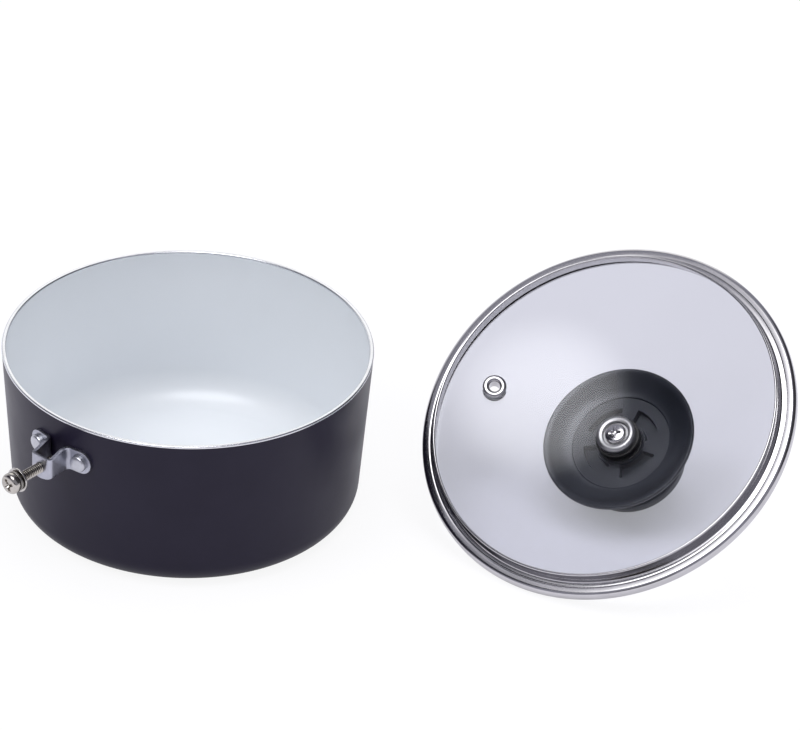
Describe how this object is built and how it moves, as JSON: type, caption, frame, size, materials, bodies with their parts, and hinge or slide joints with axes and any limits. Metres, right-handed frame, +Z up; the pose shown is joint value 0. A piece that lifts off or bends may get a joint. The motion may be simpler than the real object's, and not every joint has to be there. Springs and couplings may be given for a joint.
{
  "type": "fondue pot with glass lid",
  "caption": "Small coated pot with a white lining and a screw-on handle bracket, with its loose domed glass lid leaning upside down on its knob.",
  "frame": {"origin": "centre of the flat under the pot's base, on the table", "axes": "+Z up along the pot's axis; -X is the side of the handle bracket and its screw; the lid lies beside the pot towards +X and -Y"},
  "size_m": [0.2982, 0.3159, 0.1027],
  "materials": {
    "aluminium": "turned, bare at the lip and under the base",
    "dark_coating": "satin dark aubergine-grey coating",
    "white_lining": "smooth cool white ceramic lining",
    "plated_steel": "zinc-plated, satin",
    "rivet_metal": "satin aluminium",
    "screw_steel": "nickel-plated steel",
    "spring_steel": "plated spring steel",
    "washer_steel": "nickel-plated steel",
    "polished_steel": "polished stainless steel",
    "satin_steel": "turned stainless steel",
    "lid_glass": "clear tempered glass",
    "clear_silicone": "translucent silicone",
    "knob_black": "satin black phenolic moulding",
    "brass": "turned brass",
    "black_rubber": "black silicone"
  },
  "bodies": {
    "pot": {"pot_body": "aluminium", "exterior_coating": "dark_coating", "ceramic_lining": "white_lining", "handle_bracket": "plated_steel", "bracket_rivet_1": "rivet_metal", "bracket_rivet_2": "rivet_metal"},
    "screw_carriage": {"spring_washer": "spring_steel"},
    "screw": {"handle_screw": "screw_steel"},
    "washer": {"flat_washer": "washer_steel"},
    "lid": {"lid_rim_band": "polished_steel", "lid_glass": "lid_glass", "vent_eyelet": "polished_steel", "vent_washer": "polished_steel", "vent_gasket": "clear_silicone", "knob_body": "knob_black", "knob_thread_insert": "brass", "knob_screw": "polished_steel", "knob_cup_washer": "satin_steel", "knob_gasket": "black_rubber", "knob_bush": "black_rubber"}
  },
  "joints": [
    {"name": "lid_swing", "type": "hinge", "parent": "pot", "child": "lid", "pos_m": [0.05811, -0.07241, 0.05645], "axis": [-0.7937, -0.5447, -0.2708], "range_deg": [0, 166.7]},
    {"name": "screw_feed", "type": "slide", "parent": "pot", "child": "screw_carriage", "axis": [-1, 0, 0], "range_m": [-0.0036, 0.0068]},
    {"name": "screw_turn", "type": "hinge", "parent": "screw_carriage", "child": "screw", "pos_m": [-0.1, 0, 0.0566], "axis": [-1, 0, 0], "range_deg": [-1225, 2312]},
    {"name": "washer_slide", "type": "slide", "parent": "screw_carriage", "child": "washer", "axis": [1, 0, 0], "range_m": [0, 0.0091]}
  ],
  "couplings": [
    {"joint": "screw_turn", "follows": "screw_feed", "rad_per_m": 5927.5}
  ]
}
